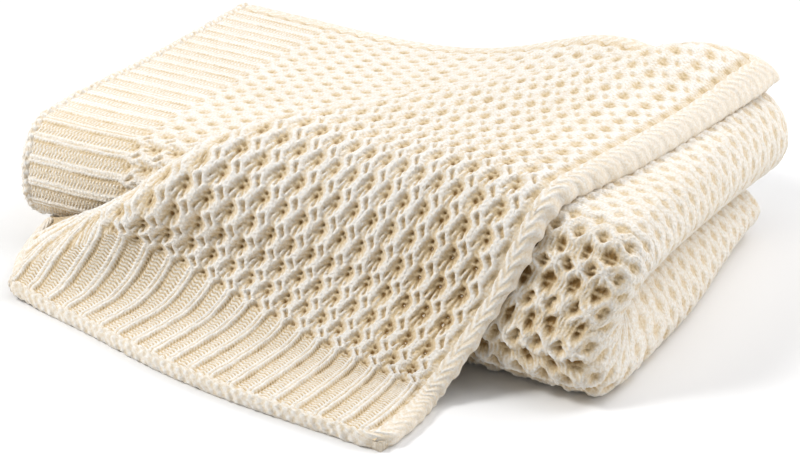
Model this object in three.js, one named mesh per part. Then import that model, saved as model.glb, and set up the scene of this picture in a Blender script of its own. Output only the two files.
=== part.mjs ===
// A knitted throw folded into a bundle of eight layers, with one corner of the top layer turned down
// over the front and onto the floor. Millimetres, +Z up. The wales run along X, the front roll faces -Y.
// The whole throw is one knitted rectangle, so it is one closed sheet: a grid of places on the cloth,
// each carried to where folding puts it, with an upper and a lower face a cloth's thickness apart.
import * as THREE from 'three';

// Driving sizes of the cloth
const CLOTH = 10; // thickness of the chunky knit
const PITCH = 13.4; // from the middle of one layer to the next
const BORDER = 88; // depth of the ribbed border along the wales
const SELVEDGE = 14; // plain chain-stitch strip along the side edges
const RIB_HEIGHT = 2.4; // how far a rib stands out of its border
const RIB_SHAPE = [[0, 0], [0.3, 0], [0.5, 1], [0.7, 0]]; // place in one rib's pitch, share of its height

// Driving sizes of the bundle
const LEFT = -291; // cast-off edges at the open end
const END_AXIS = 178; // axis of the closed folds at the right end
const BACK = 243; // selvedges along the top of the back
const UNDER_BACK = 206; // where the lower layers turn at the back
const ROLL_AXIS = -20; // axis of the front roll
const SLAB = 2 * PITCH; // from the roll's axis to the middle of four layers
const MID = 4 * PITCH - (PITCH - CLOTH) / 2; // height of the roll's axis, with the lowest face on the floor
const TOP_RUN = BACK - ROLL_AXIS; // level length of the top layer, back to front

// Driving sizes of the turned-down corner, as places on the unrolled drape: x, and run from the back edge
const CORNER = { x: 106, run: 512 }; // free corner of the cloth, on the floor
const CREST_START = { x: 186, run: 0 }; // where the diagonal fold leaves the back edge
const CREST_END = { x: -257, run: 436 }; // where it meets the cast-off edge, on the floor
const DRAPE_RADIUS = 4.5 * PITCH; // one layer outside the front roll
const DRAPE_ANGLE = THREE.MathUtils.degToRad(84); // how far the drape follows the roll
const FLOOR_MIDDLE = CLOTH / 2; // height of the cloth's middle where it lies on the floor
const ROLL_AT_END = THREE.MathUtils.degToRad(150); // where the fold leaves the roll, below the front
const CREST_PUFF = 8; // how far the fold stands up, unpressed
const CREST_PUFF_END = 15; // and near the cast-off edge, where it is free of the bundle
const PUFF_ENDS = [0.6, 1]; // share of the fold line over which it grows
const PUFF_WIDTH = 34;
const PUFF_START = 45; // from the cast-off edge to where the fold stands up fully
const PUFF_AT_EDGE = 0.3; // share of the puff left at the edge itself
const EDGE_BOW = 36; // how far the cast-off edge bows forward between its ends
const BOW_SKEW = 1.4; // above 1 moves the bow towards the fold
const BOW_FADE = 0.7; // how much the bow eases off towards the fold
const SIDE_SWAY = 13; // how far the selvedge is drawn in above the floor
const SWAY_AT = 0.19; // share of the selvedge where it is drawn in most
const SWAY_WIDTH = 0.1;
const LOOP_FADE = [0.6, 0.9]; // share of the fold line over which the loop opens out
const FLAP_RIBS = 19;
const LAST_CREST = 0.965; // share of the fold line that the grid follows
const CREST_INSET_POWER = 6; // how soon the layer under the fold clears the closed end
const CREST_REACH_POWER = 4; // how late it reaches the cast-off edges

// Settling of the bundle. A mound raises or sinks the layers by a share of their height around a place.
const HUMP = { share: 0.34, x: 70, y: 255, wideX: 82, wideY: 66 };
const DIP = { share: -0.04, x: -150, y: 243, wideX: 90, wideY: 90 };
const SUNK_CORNER = { share: -0.12, x: 205, y: 250, wideX: 50, wideY: 60 };
const THICKER_OPEN = 0.03; // how much thicker than pressed layers, as a share, at the open end
const THICKER_MIDDLE = 0.1; // and how much more from the middle on
const THICKER_EASE = 0.4; // share of that lost again at the closed end
const DROOP = 14; // how far the upper layers hang down at the back of the closed end
const FRONT_LEAN = 15; // how far the front roll leans forward at the open end
const LOW_LEAN = 5; // and how much more low down
const FRONT_SPREAD = 36; // how far the lower layers spread forward
const END_SPREAD = 14; // how far the lower lobe spreads at the closed end
const END_TUCK = 18; // how far it is tucked in again at the back
const LOBE_SPREAD = 10; // how far the upper lobe hangs out at the closed end
const LOBE_BACK_TUCK = 3; // and how much less at the back
const EDGE_SWAY = 7; // how far the cast-off edge swings out over the roll
// Zones over which each of them sets in, as x, y or z from and to
const MIDDLE_X = [-120, 60];
const EASE_X = [120, 200];
const CLOSED_X = [90, 190];
const OPEN_X = [-250, -100];
const SWAY_X = [-290, -150];
const DROOP_X = [30, 200];
const SPREAD_X = [-70, 120];
const RISE_Y = [-110, -30];
const DROOP_Y = [0, 240];
const BACK_Y = [40, 220];
const LEAN_Y = [-40, 60];
const LEAN_FLOOR_Y = [-220, -110];
const SPREAD_Y = [-50, 20];
const SPREAD_FLOOR_Y = [-170, -75];
const LOW_Z = [5, 80];
const LOWER_LOBE_Z = [0, 42];
const UPPER_LOBE_Z = [45, 80];
const SWAY_Z = [50, 90];
const SWAY_REACH_Y = 60;
const RIB_FADE = [20, 110]; // length of border left by the diagonal fold over which ribs come up

// Grid steps along the wales: turned-down corner, its fold, top runs, end folds and returns
const BORDER_ROWS = 5;
const FLAP_ROWS = 13;
const FOLD_ROWS = 6;
const TOP_BORDER_ROWS = 3;
const TOP_ROWS = 7;
const END_ROWS = 8;
const RETURN_ROWS = 8;
// Grid steps across the wales
const ROLL_REST = 2;
const UNDER_STEPS = 5;
const TURN_STEPS = 5;
const ROLL_RIBS = 7;
const TOP_RIBS = 17;

const lerp = THREE.MathUtils.lerp;

// From 0 to 1, eased at both ends, as a value goes through a zone
function ramp(value, [from, to]) {
  return THREE.MathUtils.smoothstep(value, from, to);
}

// A bell-shaped bump: 1 at the middle, falling off over the given width
function bell(value, middle, width) {
  return Math.exp(-(((value - middle) / width) ** 2));
}

// The bundle. A place along the wales is { x, bend }, with bend going from 0 on the upper run to PI on the
// return. A place across them is { y, bend, turn }: bend goes from 0 on top, round the front roll, to PI
// underneath, and turn goes from 0 on the outer layer to PI on the inner one.
function bundlePoint(along, across, lift) {
  const fold = 0.5 * PITCH + lift;
  const ring = PITCH + fold * Math.cos(across.turn);
  const reach = fold * Math.sin(across.turn);
  const radius = SLAB + ring * Math.cos(along.bend);
  return new THREE.Vector3(
    along.x + ring * Math.sin(along.bend),
    across.y - radius * Math.sin(across.bend) + reach,
    MID + radius * Math.cos(across.bend),
  );
}

// The drape's section: level over the top, round the front roll, then out along the floor
const DRAPE_TOP = TOP_RUN;
const DRAPE_LEAVE = DRAPE_TOP + DRAPE_RADIUS * DRAPE_ANGLE;
const LEAVE_Y = ROLL_AXIS - DRAPE_RADIUS * Math.sin(DRAPE_ANGLE);
const LEAVE_Z = MID + DRAPE_RADIUS * Math.cos(DRAPE_ANGLE);
const FOOT_RADIUS = (LEAVE_Z - FLOOR_MIDDLE) / (1 - Math.cos(DRAPE_ANGLE));
const DRAPE_FLOOR = DRAPE_LEAVE + FOOT_RADIUS * DRAPE_ANGLE;
const FLOOR_Y = LEAVE_Y - FOOT_RADIUS * Math.sin(DRAPE_ANGLE);

function drapeSection(run) {
  if (run < DRAPE_TOP) {
    return { y: BACK - run, z: MID + DRAPE_RADIUS, lean: 0 };
  }
  if (run < DRAPE_LEAVE) {
    const lean = (run - DRAPE_TOP) / DRAPE_RADIUS;
    return { y: ROLL_AXIS - DRAPE_RADIUS * Math.sin(lean), z: MID + DRAPE_RADIUS * Math.cos(lean), lean };
  }
  if (run < DRAPE_FLOOR) {
    const lean = DRAPE_ANGLE - (run - DRAPE_LEAVE) / FOOT_RADIUS;
    return {
      y: FLOOR_Y + FOOT_RADIUS * Math.sin(lean),
      z: FLOOR_MIDDLE + FOOT_RADIUS * (1 - Math.cos(lean)),
      lean,
    };
  }
  return { y: FLOOR_Y - (run - DRAPE_FLOOR), z: FLOOR_MIDDLE, lean: 0 };
}

const EDGE_LENGTH = Math.hypot(CORNER.x - CREST_END.x, CORNER.run - CREST_END.run);
const SIDE_LENGTH = Math.hypot(CORNER.x - CREST_START.x, CORNER.run - CREST_START.run);
// From the free corner to the fold line
const CREST_HEIGHT = (EDGE_LENGTH * SIDE_LENGTH) / Math.hypot(EDGE_LENGTH, SIDE_LENGTH);

// A place on the turned-down corner: wale is the distance from its cast-off edge, course the distance
// from its selvedge. It shows the cloth's other side, so lift goes downwards.
function flapPoint(wale, course, lift) {
  const side = wale / SIDE_LENGTH;
  const edge = course / EDGE_LENGTH;
  const sway = SIDE_SWAY * bell(side, SWAY_AT, SWAY_WIDTH) * (1 - edge) ** 2;
  const x = CORNER.x + side * (CREST_START.x - CORNER.x) + edge * (CREST_END.x - CORNER.x) - sway;
  const bow = EDGE_BOW * Math.sin(Math.PI * edge ** BOW_SKEW) * (1 - side - edge * BOW_FADE);
  const run = CORNER.run + side * (CREST_START.run - CORNER.run) + edge * (CREST_END.run - CORNER.run) + bow;
  const section = drapeSection(run);
  const fromCrest = (1 - side - edge) * CREST_HEIGHT;
  const fullPuff = lerp(CREST_PUFF, CREST_PUFF_END, ramp(edge, PUFF_ENDS));
  const puff = fullPuff * bell(fromCrest, 0, PUFF_WIDTH) * lerp(PUFF_AT_EDGE, 1, ramp(wale, [0, PUFF_START]));
  const rise = puff - lift;
  const y = section.y - rise * Math.sin(section.lean);
  const z = section.z + rise * Math.cos(section.lean);
  return new THREE.Vector3(x, y, z);
}

// Where the top layer stops under the diagonal fold, for a share of the fold line from back to front
function crestAcross(share) {
  const run = lerp(CREST_START.run, CREST_END.run, share);
  if (run < TOP_RUN) {
    return { y: BACK - run, bend: 0, turn: 0 };
  }
  return { y: ROLL_AXIS, bend: (ROLL_AT_END * (run - TOP_RUN)) / (CREST_END.run - TOP_RUN), turn: 0 };
}

function crestX(share) {
  const inset = (CREST_START.x - END_AXIS + CLOTH) * (1 - share) ** CREST_INSET_POWER;
  return lerp(CREST_START.x, CREST_END.x, share) + (LEFT - CREST_END.x) * share ** CREST_REACH_POWER - inset;
}

// The diagonal fold: a soft loop from the turned-down corner back to the layer that it is part of. Its
// handles point away from the corner, along the drape at one end and along the front roll at the other.
function foldPoint(part, share, lift) {
  const run = lerp(CREST_START.run, CREST_END.run, share);
  const across = crestAcross(share);
  const start = flapPoint(SIDE_LENGTH * (1 - share), share * EDGE_LENGTH, lift);
  const end = bundlePoint({ x: crestX(share), bend: 0 }, across, lift);
  const handle = (4 / 3) * (PITCH / 2 - lift) + CREST_PUFF;
  const startHandle = start.clone().addScaledVector(awayFromCorner(drapeSection(run).lean), handle);
  const endReach = handle * (1 - ramp(share, LOOP_FADE));
  const endHandle = end.clone().addScaledVector(awayFromCorner(across.bend), endReach);
  return new THREE.CubicBezierCurve3(start, startHandle, endHandle, end).getPoint(part);
}

// Square to the diagonal fold, on cloth that leans forward by the given angle
function awayFromCorner(lean) {
  const along = CREST_START.x - CREST_END.x;
  const down = CREST_END.run - CREST_START.run;
  return new THREE.Vector3(-down, along * Math.cos(lean), along * Math.sin(lean)).normalize();
}

function mound(shape, x, y) {
  return shape.share * bell(x, shape.x, shape.wideX) * bell(y, shape.y, shape.wideY);
}

// How a hand-folded bundle settles: thicker towards its closed end, with a hump at the back, a forward lean
// at the open end, and the lower layers spreading out under the upper ones
function settle({ x, y, z }) {
  const atEnd = ramp(x, CLOSED_X);
  const atBack = ramp(y, BACK_Y);
  const low = 1 - ramp(z, LOW_Z);
  const thicker = THICKER_OPEN + THICKER_MIDDLE * ramp(x, MIDDLE_X) * (1 - THICKER_EASE * ramp(x, EASE_X));
  const mounds = mound(HUMP, x, y) + mound(DIP, x, y) + mound(SUNK_CORNER, x, y);
  const rise = (thicker + mounds) * ramp(y, RISE_Y);
  const share = Math.min(1, z / (8 * PITCH));
  const droop = DROOP * ramp(x, DROOP_X) * ramp(y, DROOP_Y) * Math.sin(Math.PI * share) ** 2;
  const leanZone = (1 - ramp(x, OPEN_X)) * (1 - ramp(y, LEAN_Y)) * ramp(y, LEAN_FLOOR_Y);
  const spreadZone = ramp(x, SPREAD_X) * (1 - ramp(y, SPREAD_Y)) * ramp(y, SPREAD_FLOOR_Y);
  const forward = (FRONT_LEAN + LOW_LEAN * low) * leanZone + FRONT_SPREAD * low * spreadZone;
  const lowerLobe = (END_SPREAD - END_TUCK * atBack) * (1 - ramp(z, LOWER_LOBE_Z));
  const upperLobe = (LOBE_SPREAD - LOBE_BACK_TUCK * atBack) * ramp(z, UPPER_LOBE_Z);
  const sway = EDGE_SWAY * (1 - ramp(x, SWAY_X)) * bell(y, 0, SWAY_REACH_Y) * ramp(z, SWAY_Z);
  return new THREE.Vector3(x + atEnd * (lowerLobe + upperLobe) - sway, y - forward, z * (1 + rise) - droop);
}

// Columns across the wales, in cloth order from the top selvedge. Each has its place in the bundle, and
// a column of the turned-down corner has its share of the fold line too.
function clothColumns() {
  const columns = [];
  const ribStart = SELVEDGE / EDGE_LENGTH;
  columns.push({ share: 0, ...crestAcross(0), ribbed: false });
  for (let rib = 0; rib <= FLAP_RIBS; rib += 1) {
    const share = lerp(ribStart, LAST_CREST, rib / FLAP_RIBS);
    columns.push({ share, ...crestAcross(share), ribbed: rib < FLAP_RIBS });
  }
  const rollStart = crestAcross(LAST_CREST).bend;
  for (let step = 1; step <= ROLL_REST; step += 1) {
    columns.push({ y: ROLL_AXIS, bend: lerp(rollStart, Math.PI, step / ROLL_REST), turn: 0 });
  }
  for (let step = 1; step <= UNDER_STEPS; step += 1) {
    columns.push({ y: lerp(ROLL_AXIS, UNDER_BACK, step / UNDER_STEPS), bend: Math.PI, turn: 0 });
  }
  for (let step = 1; step <= TURN_STEPS; step += 1) {
    columns.push({ y: UNDER_BACK, bend: Math.PI, turn: (Math.PI * step) / TURN_STEPS });
  }
  for (let step = 1; step <= UNDER_STEPS; step += 1) {
    columns.push({ y: lerp(UNDER_BACK, ROLL_AXIS, step / UNDER_STEPS), bend: Math.PI, turn: Math.PI });
  }
  columns[columns.length - 1].ribbed = true;
  for (let rib = 1; rib <= ROLL_RIBS; rib += 1) {
    columns.push({ y: ROLL_AXIS, bend: Math.PI * (1 - rib / ROLL_RIBS), turn: Math.PI, ribbed: true });
  }
  for (let rib = 1; rib <= TOP_RIBS; rib += 1) {
    const y = lerp(ROLL_AXIS, BACK, rib / TOP_RIBS);
    columns.push({ y, bend: 0, turn: Math.PI, ribbed: rib < TOP_RIBS });
  }
  return columns;
}

// Rows along the wales of the layers in the bundle, as a share of each run
function bundleAlong(row, startX) {
  const borderEnd = Math.min(startX + BORDER, lerp(startX, END_AXIS, 0.5));
  if (row <= TOP_BORDER_ROWS) {
    return { x: lerp(startX, borderEnd, row / TOP_BORDER_ROWS), bend: 0 };
  }
  const overRow = row - TOP_BORDER_ROWS;
  if (overRow <= TOP_ROWS) {
    return { x: lerp(borderEnd, END_AXIS, overRow / TOP_ROWS), bend: 0 };
  }
  const endRow = overRow - TOP_ROWS;
  if (endRow <= END_ROWS) {
    return { x: END_AXIS, bend: (Math.PI * endRow) / END_ROWS };
  }
  return { x: lerp(END_AXIS, LEFT, (endRow - END_ROWS) / RETURN_ROWS), bend: Math.PI };
}

const BUNDLE_ROWS = TOP_BORDER_ROWS + TOP_ROWS + END_ROWS + RETURN_ROWS;
const CORNER_ROWS = BORDER_ROWS + FLAP_ROWS;
const FIRST_BUNDLE_ROW = CORNER_ROWS + FOLD_ROWS;
const LAST_ROW = FIRST_BUNDLE_ROW + BUNDLE_ROWS;

// A place on the cloth. The column may lie between two of the list, for the points that shape a rib.
function clothPoint(row, column, lift) {
  const inCorner = column.share !== undefined;
  if (inCorner && row <= CORNER_ROWS) {
    const reach = SIDE_LENGTH * (1 - column.share);
    const border = BORDER * (1 - Math.exp(-reach / BORDER));
    const wale = row <= BORDER_ROWS
      ? (border * row) / BORDER_ROWS
      : lerp(border, reach, (row - BORDER_ROWS) / FLAP_ROWS);
    return flapPoint(wale, column.share * EDGE_LENGTH, lift);
  }
  if (inCorner && row < FIRST_BUNDLE_ROW) {
    return foldPoint((row - CORNER_ROWS) / FOLD_ROWS, column.share, lift);
  }
  const startX = inCorner ? crestX(column.share) : LEFT;
  return bundlePoint(bundleAlong(row - FIRST_BUNDLE_ROW, startX), column, lift);
}

// Ribs die away at the end of their border, and where the diagonal fold cuts it short
function ribShare(row, column) {
  if (column.share === undefined) {
    return row - FIRST_BUNDLE_ROW < TOP_BORDER_ROWS ? 1 : 0;
  }
  return row < BORDER_ROWS ? ramp(SIDE_LENGTH * (1 - column.share), RIB_FADE) : 0;
}

function between(first, second, part) {
  const column = {
    y: lerp(first.y, second.y, part),
    bend: lerp(first.bend, second.bend, part),
    turn: lerp(first.turn, second.turn, part),
  };
  if (first.share !== undefined) {
    column.share = lerp(first.share, second.share, part);
  }
  return column;
}

// The sheet as a list of places, each with its two faces, and triangles over them seen from the side
// where lift is positive
class Sheet {
  constructor() {
    this.upper = [];
    this.lower = [];
    this.triangles = [];
    this.known = new Map();
  }

  place(key, make) {
    if (!this.known.has(key)) {
      const faces = make();
      this.known.set(key, this.upper.length);
      this.upper.push(faces.upper);
      this.lower.push(faces.lower);
    }
    return this.known.get(key);
  }

  // A cell between two rows, with any number of points along each of its rows
  cell(nearRow, farRow) {
    let near = 0;
    let far = 0;
    while (near < nearRow.length - 1 || far < farRow.length - 1) {
      const nearNext = (near + 1) / (nearRow.length - 1);
      const farNext = (far + 1) / (farRow.length - 1);
      if (far === farRow.length - 1 || (near < nearRow.length - 1 && nearNext <= farNext)) {
        this.triangles.push([nearRow[near], nearRow[near + 1], farRow[far]]);
        near += 1;
      } else {
        this.triangles.push([nearRow[near], farRow[far + 1], farRow[far]]);
        far += 1;
      }
    }
  }

  geometry() {
    const count = this.upper.length;
    const positions = [];
    for (const point of [...this.upper, ...this.lower]) {
      positions.push(point.x, point.y, point.z);
    }
    const index = [];
    const edges = new Set();
    for (const [a, b, c] of this.triangles) {
      index.push(a, b, c, count + c, count + b, count + a);
      for (const [from, to] of [[a, b], [b, c], [c, a]]) {
        edges.add(`${from}>${to}`);
      }
    }
    for (const [a, b, c] of this.triangles) {
      for (const [from, to] of [[a, b], [b, c], [c, a]]) {
        if (!edges.has(`${to}>${from}`)) {
          index.push(to, from, count + from, to, count + from, count + to);
        }
      }
    }
    const geometry = new THREE.BufferGeometry();
    geometry.setAttribute('position', new THREE.Float32BufferAttribute(positions, 3));
    geometry.setIndex(index);
    return geometry;
  }
}

function knitThrow() {
  const columns = clothColumns();
  const sheet = new Sheet();

  function place(row, step, rib) {
    const [part, height] = rib === undefined ? [0, 0] : RIB_SHAPE[rib];
    const key = `${row},${step},${part}`;
    return sheet.place(key, () => {
      const column = part === 0 ? columns[step] : between(columns[step], columns[step + 1], part);
      return {
        upper: settle(clothPoint(row, column, CLOTH / 2)),
        lower: settle(clothPoint(row, column, -CLOTH / 2 - height * RIB_HEIGHT * ribShare(row, column))),
      };
    });
  }

  function rowOfCell(row, step) {
    const inCorner = columns[step].share !== undefined;
    const borderStart = inCorner ? 0 : FIRST_BUNDLE_ROW;
    const borderEnd = borderStart + (inCorner ? BORDER_ROWS : TOP_BORDER_ROWS);
    const points = [place(row, step)];
    if (columns[step].ribbed && row >= borderStart && row <= borderEnd) {
      for (let rib = 1; rib < RIB_SHAPE.length; rib += 1) {
        points.push(place(row, step, rib));
      }
    }
    points.push(place(row, step + 1));
    return points;
  }

  for (let step = 0; step + 1 < columns.length; step += 1) {
    const cornerCell = columns[step].share !== undefined && columns[step + 1].share !== undefined;
    for (let row = cornerCell ? 0 : FIRST_BUNDLE_ROW; row < LAST_ROW; row += 1) {
      sheet.cell(rowOfCell(row, step), rowOfCell(row + 1, step));
    }
  }
  return sheet.geometry();
}

// The origin is under the middle of the throw, on the floor
const geometry = knitThrow();
geometry.computeBoundingBox();
const middle = geometry.boundingBox.getCenter(new THREE.Vector3());
geometry.translate(-middle.x, -middle.y, -geometry.boundingBox.min.z);
geometry.computeVertexNormals();

const wool = new THREE.MeshStandardMaterial({ color: 0xf3e9d4, roughness: 0.95, metalness: 0 });
const knittedThrow = new THREE.Mesh(geometry, wool);
knittedThrow.name = 'knitted_throw';

const bundle = new THREE.Group();
bundle.add(knittedThrow);

export default bundle;
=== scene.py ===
# %% [markdown]
# # A chunky knitted throw, folded, with one corner turned down
# The throw is one knitted rectangle, so everything here is one cloth seen in different places. The packed
# solid already holds its folds. This lesson lays the knit over them: ribbed borders, a honeycomb body, a
# chain-stitch selvedge and a cast-off edge of small knobs.

# %% Load the folded solid
import math

import bpy
import numpy as np
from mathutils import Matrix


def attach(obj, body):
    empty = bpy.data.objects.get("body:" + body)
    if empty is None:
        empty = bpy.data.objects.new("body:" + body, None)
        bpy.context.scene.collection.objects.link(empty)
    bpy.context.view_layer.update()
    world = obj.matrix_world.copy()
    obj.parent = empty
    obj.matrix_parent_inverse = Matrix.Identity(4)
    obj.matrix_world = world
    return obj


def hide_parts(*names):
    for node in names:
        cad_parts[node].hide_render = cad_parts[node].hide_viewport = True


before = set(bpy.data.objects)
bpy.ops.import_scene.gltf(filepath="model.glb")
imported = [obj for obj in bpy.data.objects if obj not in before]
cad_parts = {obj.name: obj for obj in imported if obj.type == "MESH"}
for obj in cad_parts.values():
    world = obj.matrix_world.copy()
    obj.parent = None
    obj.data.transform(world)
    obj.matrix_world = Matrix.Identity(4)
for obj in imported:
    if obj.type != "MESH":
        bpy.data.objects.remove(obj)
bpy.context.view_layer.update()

# %% [markdown]
# ## The folds as functions
# A folded cloth could be simulated, but the folds of this one are simple and have to lie exactly on the
# solid. So each fold is a formula that takes places on the cloth to places in space, for whole arrays at
# once. Lengths are in millimetres until a mesh is made. "Lift" is the distance from the cloth's middle.

# %% Sizes of the cloth and of the bundle
CLOTH = 10.0
PITCH = 13.4
BORDER = 88.0
SELVEDGE = 14.0
LEFT, END_AXIS = -291.0, 178.0
BACK, UNDER_BACK, ROLL_AXIS = 243.0, 206.0, -20.0
SLAB = 2 * PITCH
MID = 4 * PITCH - (PITCH - CLOTH) / 2
TOP_RUN = BACK - ROLL_AXIS
CORNER_X, CORNER_RUN = 106.0, 512.0
CREST_START_X, CREST_END_X, CREST_END_RUN = 186.0, -257.0, 436.0
ROLL_AT_END = math.radians(150)
LAST_CREST = 0.965
FLAP_RIBS, ROLL_RIBS, TOP_RIBS = 18.3, 7, 17
FRAME_SHIFT = np.array([42.4702, -21.5333, 0.0])
print("cloth", CLOTH, "mm thick, layers", PITCH, "mm apart, borders", BORDER, "mm wide")


def ramp(value, zone):
    """From 0 to 1 with eased ends, 3t^2 - 2t^3, as a value goes through a zone."""
    part = np.clip((value - zone[0]) / (zone[1] - zone[0]), 0, 1)
    return part * part * (3 - 2 * part)


def bell(value, middle, width):
    """A bump: e to the minus square of the distance from the middle over the width."""
    return np.exp(-(((value - middle) / width) ** 2))


def lerp(first, second, part):
    """A straight mix of two values."""
    return first + (second - first) * part


def mound(x, y, share, at_x, at_y, wide_x, wide_y):
    """A share of the height that swells or sinks around one place, as a bell both ways."""
    return share * bell(x, at_x, wide_x) * bell(y, at_y, wide_y)


# %% How the bundle settles
def settle(x, y, z):
    """Heights grow by a share that depends on the place; low layers spread forward and out at the end."""
    at_end, at_back = ramp(x, (90, 190)), ramp(y, (40, 220))
    low = 1 - ramp(z, (5, 80))
    thicker = 0.03 + 0.1 * ramp(x, (-120, 60)) * (1 - 0.4 * ramp(x, (120, 200)))
    mounds = mound(x, y, 0.34, 70, 255, 82, 66) + mound(x, y, -0.04, -150, 243, 90, 90)
    mounds = mounds + mound(x, y, -0.12, 205, 250, 50, 60)
    rise = (thicker + mounds) * ramp(y, (-110, -30))
    share = np.minimum(1, z / (8 * PITCH))
    droop = 14 * ramp(x, (30, 200)) * ramp(y, (0, 240)) * np.sin(np.pi * share) ** 2
    lean_zone = (1 - ramp(x, (-250, -100))) * (1 - ramp(y, (-40, 60))) * ramp(y, (-220, -110))
    spread_zone = ramp(x, (-70, 120)) * (1 - ramp(y, (-50, 20))) * ramp(y, (-170, -75))
    forward = (15 + 5 * low) * lean_zone + 36 * low * spread_zone
    lower_lobe = (14 - 18 * at_back) * (1 - ramp(z, (0, 42)))
    upper_lobe = (10 - 3 * at_back) * ramp(z, (45, 80))
    sway = 7 * (1 - ramp(x, (-290, -150))) * bell(y, 0, 60) * ramp(z, (50, 90))
    settled_x = x + at_end * (lower_lobe + upper_lobe) - sway
    return np.stack([settled_x, y - forward, z * (1 + rise) - droop], -1)


# %% The bundle of eight layers
ACROSS = np.cumsum([0, TOP_RUN, 3.5 * PITCH * np.pi, UNDER_BACK - ROLL_AXIS, 0.5 * PITCH * np.pi,
                    UNDER_BACK - ROLL_AXIS, 2.5 * PITCH * np.pi, TOP_RUN])
RUN_LENGTH = END_AXIS - LEFT
END_TURN = 1.5 * PITCH * np.pi
WHOLE_RUN = 2 * RUN_LENGTH + END_TURN
print("flat throw in mm:", round(float(ACROSS[-1])), "by", round(WHOLE_RUN))


def across_place(t):
    """Along the folded width: top, front roll, underside, hairpin, and back again one layer further in."""
    depths = [BACK, ROLL_AXIS, ROLL_AXIS, UNDER_BACK, UNDER_BACK, ROLL_AXIS, ROLL_AXIS, BACK]
    y = np.interp(t, ACROSS, depths)
    bend = np.interp(t, ACROSS, [0, 0, np.pi, np.pi, np.pi, np.pi, 0, 0])
    turn = np.interp(t, ACROSS, [0, 0, 0, 0, np.pi, np.pi, np.pi, np.pi])
    return y, bend, turn


def along_place(s):
    """Along the folded length: the upper run, round the closed end, and the return."""
    x = LEFT + np.minimum(s, RUN_LENGTH) - np.maximum(s - RUN_LENGTH - END_TURN, 0)
    bend = np.pi * np.clip((s - RUN_LENGTH) / END_TURN, 0, 1)
    return x, bend


def bundle(x, end_bend, y, roll_bend, turn, lift):
    """A ring one or two layers from the fold's middle, turned about the closed end, then about the roll."""
    fold = 0.5 * PITCH + lift
    ring = PITCH + fold * np.cos(turn)
    radius = SLAB + ring * np.cos(end_bend)
    along = x + ring * np.sin(end_bend)
    depth = y - radius * np.sin(roll_bend) + fold * np.sin(turn)
    height = MID + radius * np.cos(roll_bend)
    return np.broadcast_arrays(along, depth, height)


def bundle_point(t, s, lift):
    """A place of the cloth in the bundle, t across the wales and s along them, after settling."""
    return settle(*bundle(*along_place(s), *across_place(t), lift))


# %% [markdown]
# ## The turned-down corner
# The corner of the top layer folds over along a diagonal, lies on the bundle, runs down over the front roll
# and out onto the floor. Its section is a level line, an arc round the roll, a second arc the other way at
# the foot, and the floor. The diagonal fold itself is a soft loop, drawn as a Bezier curve.

# %% The corner's drape and its fold
DRAPE_RADIUS, DRAPE_ANGLE = 4.5 * PITCH, math.radians(84)
DRAPE_LEAVE = TOP_RUN + DRAPE_RADIUS * DRAPE_ANGLE
LEAVE_Y = ROLL_AXIS - DRAPE_RADIUS * math.sin(DRAPE_ANGLE)
LEAVE_Z = MID + DRAPE_RADIUS * math.cos(DRAPE_ANGLE)
FOOT_RADIUS = (LEAVE_Z - CLOTH / 2) / (1 - math.cos(DRAPE_ANGLE))
DRAPE_FLOOR = DRAPE_LEAVE + FOOT_RADIUS * DRAPE_ANGLE
FLOOR_Y = LEAVE_Y - FOOT_RADIUS * math.sin(DRAPE_ANGLE)
EDGE_LENGTH = math.hypot(CORNER_X - CREST_END_X, CORNER_RUN - CREST_END_RUN)
SIDE_LENGTH = math.hypot(CORNER_X - CREST_START_X, CORNER_RUN)
CREST_HEIGHT = EDGE_LENGTH * SIDE_LENGTH / math.hypot(EDGE_LENGTH, SIDE_LENGTH)


def drape(run):
    """Depth, height and forward lean of the section at a distance from the back edge."""
    over = np.clip((run - TOP_RUN) / DRAPE_RADIUS, 0, DRAPE_ANGLE)
    foot = np.clip(DRAPE_ANGLE - (run - DRAPE_LEAVE) / FOOT_RADIUS, 0, DRAPE_ANGLE)
    on_foot = run > DRAPE_LEAVE
    y = np.where(on_foot, FLOOR_Y + FOOT_RADIUS * np.sin(foot), ROLL_AXIS - DRAPE_RADIUS * np.sin(over))
    y = y + np.maximum(TOP_RUN - run, 0) - np.maximum(run - DRAPE_FLOOR, 0)
    z_foot = CLOTH / 2 + FOOT_RADIUS * (1 - np.cos(foot))
    z = np.where(on_foot, z_foot, MID + DRAPE_RADIUS * np.cos(over))
    return y, z, np.where(on_foot, foot, over)


def corner(course, wale, lift):
    """A place on the turned-down corner, mixed from its three corners, then bowed, puffed and draped."""
    side, edge = wale / SIDE_LENGTH, course / EDGE_LENGTH
    sway = 13 * bell(side, 0.19, 0.1) * (1 - edge) ** 2
    x = CORNER_X + side * (CREST_START_X - CORNER_X) + edge * (CREST_END_X - CORNER_X) - sway
    bow = 36 * np.sin(np.pi * np.clip(edge, 0, 1) ** 1.4) * (1 - side - edge * 0.7)
    y, z, lean = drape(CORNER_RUN * (1 - side) + edge * (CREST_END_RUN - CORNER_RUN) + bow)
    from_crest = (1 - side - edge) * CREST_HEIGHT
    puff = lerp(8, 15, ramp(edge, (0.6, 1))) * bell(from_crest, 0, 34) * lerp(0.3, 1, ramp(wale, (0, 45)))
    rise = puff - lift
    return np.stack([x, y - rise * np.sin(lean), z + rise * np.cos(lean)], -1)


def under_crest(share):
    """Where the layer under the diagonal fold stops: its x, depth and bend round the roll."""
    run = CREST_END_RUN * share
    y = np.maximum(BACK - run, ROLL_AXIS)
    bend = ROLL_AT_END * np.maximum(run - TOP_RUN, 0) / (CREST_END_RUN - TOP_RUN)
    inset = (CREST_START_X - END_AXIS + CLOTH) * (1 - share) ** 6
    x = lerp(CREST_START_X, CREST_END_X, share) + (LEFT - CREST_END_X) * share ** 4 - inset
    return x, y, bend


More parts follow.
